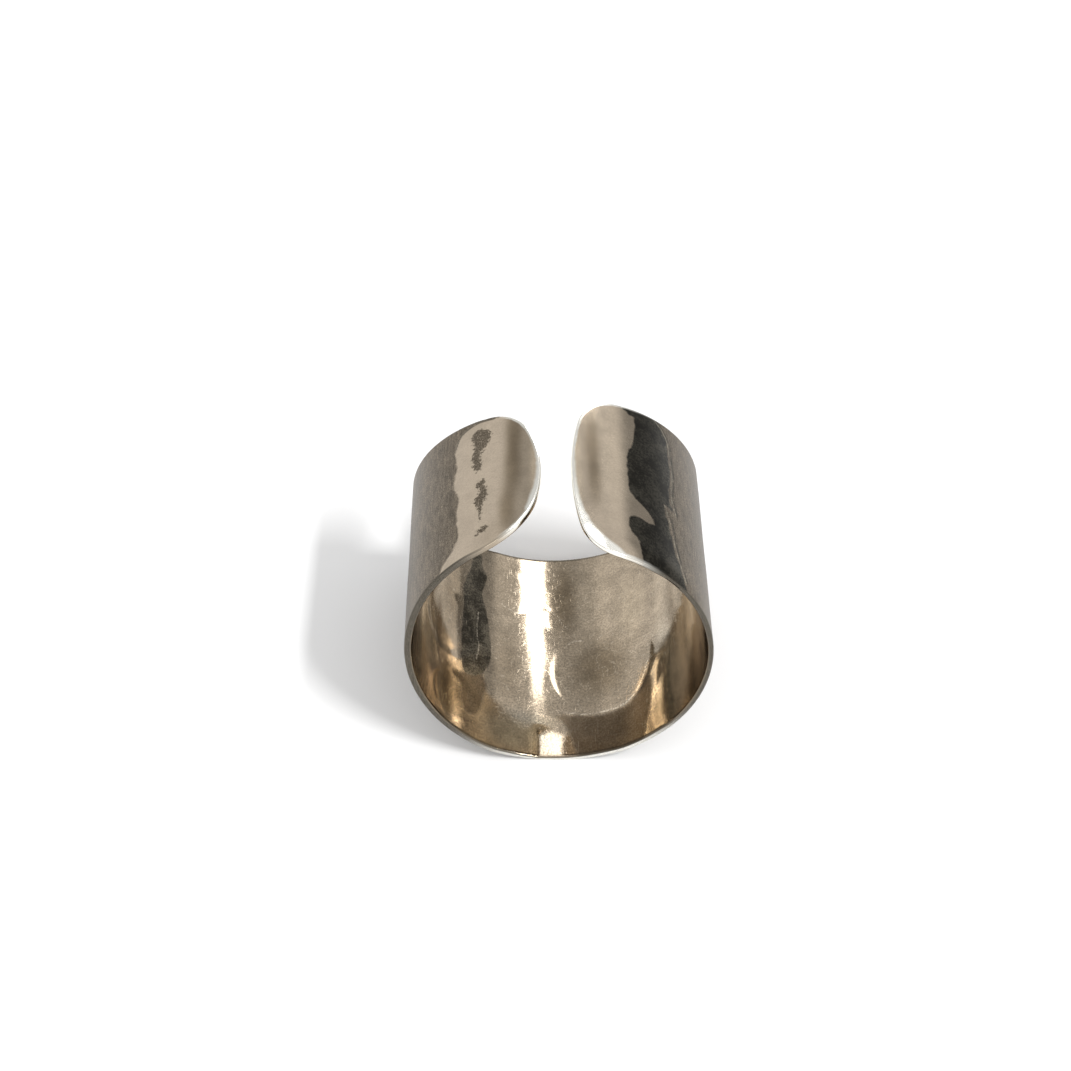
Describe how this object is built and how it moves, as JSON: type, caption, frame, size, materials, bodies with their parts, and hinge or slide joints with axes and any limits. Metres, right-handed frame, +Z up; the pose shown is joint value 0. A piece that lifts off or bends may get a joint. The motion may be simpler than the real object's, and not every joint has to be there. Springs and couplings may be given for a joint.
{
  "type": "open cuff ring",
  "caption": "Wide open finger ring bent from one tapered strip of hammered silver-coloured metal, with a narrow gap between two rounded ends.",
  "frame": {"origin": "on the table, under the middle of the band as it lies on its round wall", "axes": "+Z up through the gap, +Y along the finger bore and away from the viewer, +X to the right"},
  "size_m": [0.02, 0.0176, 0.0199],
  "materials": {
    "silver": "hammered and worn satin, polished at the ends, warm tarnish inside"
  },
  "bodies": {
    "root": {"band": "silver"}
  },
  "joints": []
}
